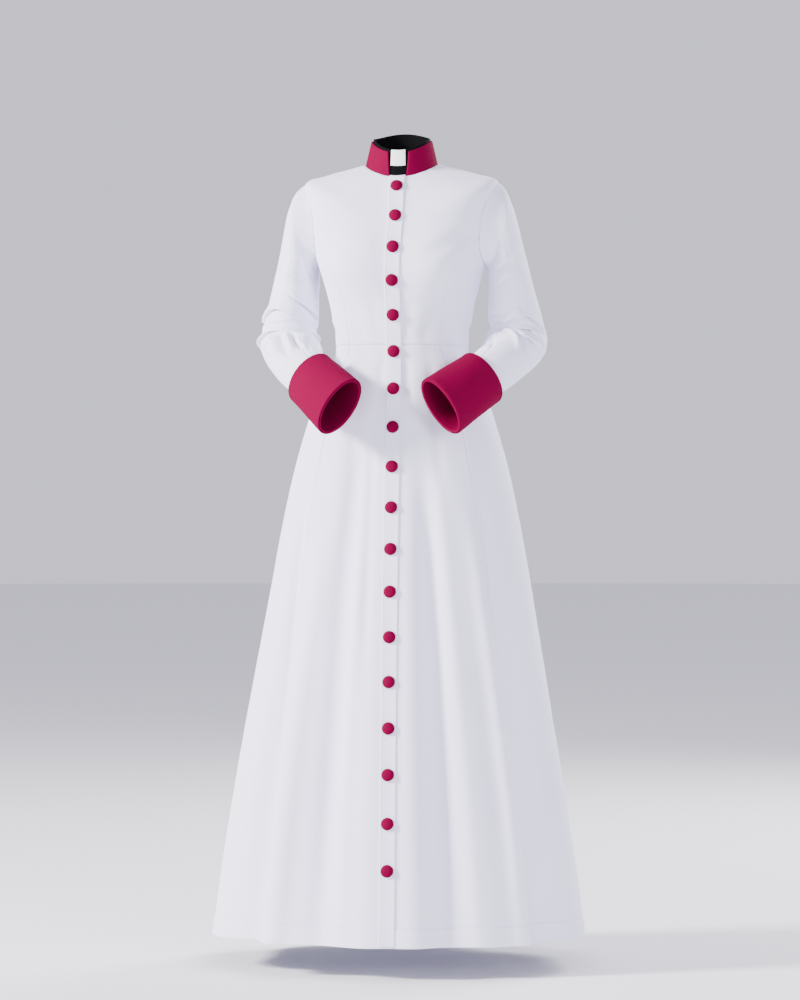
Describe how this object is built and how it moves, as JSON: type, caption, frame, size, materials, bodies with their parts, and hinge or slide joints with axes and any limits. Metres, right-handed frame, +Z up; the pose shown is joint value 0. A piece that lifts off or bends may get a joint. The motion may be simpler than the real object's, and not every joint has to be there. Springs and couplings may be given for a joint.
{
  "type": "clergy robe",
  "caption": "Full-length white clergy robe: princess-cut bodice, flared skirt, buttoned placket, stand collar with a white tab, and deep magenta cuffs.",
  "frame": {"origin": "middle of the neck opening, at the height where the collar crosses the shoulder seams", "axes": "+Z up the wearer, -Y out of the front, +X to the wearer's left"},
  "size_m": [0.6563, 0.5665, 1.414],
  "materials": {
    "white_cloth": "plain matt suiting with a faint soft sheen",
    "magenta_cloth": "matt magenta suiting",
    "black_cloth": "matt black cloth",
    "white_tab": "smooth starched white linen"
  },
  "bodies": {
    "root": {"bodice_front_left": "white_cloth", "bodice_front_right": "white_cloth", "bodice_side_front_left": "white_cloth", "bodice_side_front_right": "white_cloth", "bodice_side_back_left": "white_cloth", "bodice_side_back_right": "white_cloth", "bodice_back_left": "white_cloth", "bodice_back_right": "white_cloth", "skirt_front_left": "white_cloth", "skirt_front_right": "white_cloth", "skirt_side_front_left": "white_cloth", "skirt_side_front_right": "white_cloth", "skirt_side_back_left": "white_cloth", "skirt_side_back_right": "white_cloth", "skirt_back_left": "white_cloth", "skirt_back_right": "white_cloth", "placket": "white_cloth", "button_01": "magenta_cloth", "button_02": "magenta_cloth", "button_03": "magenta_cloth", "button_04": "magenta_cloth", "button_05": "magenta_cloth", "button_06": "magenta_cloth", "button_07": "magenta_cloth", "button_08": "magenta_cloth", "button_09": "magenta_cloth", "button_10": "magenta_cloth", "button_11": "magenta_cloth", "button_12": "magenta_cloth", "button_13": "magenta_cloth", "button_14": "magenta_cloth", "button_15": "magenta_cloth", "button_16": "magenta_cloth", "button_17": "magenta_cloth", "button_18": "magenta_cloth", "collar": "magenta_cloth", "neckband": "black_cloth", "collar_tab": "white_tab", "sleeve_top_left": "white_cloth", "sleeve_under_left": "white_cloth", "cuff_left": "magenta_cloth", "cuff_facing_left": "magenta_cloth", "sleeve_top_right": "white_cloth", "sleeve_under_right": "white_cloth", "cuff_right": "magenta_cloth", "cuff_facing_right": "magenta_cloth"}
  },
  "joints": []
}
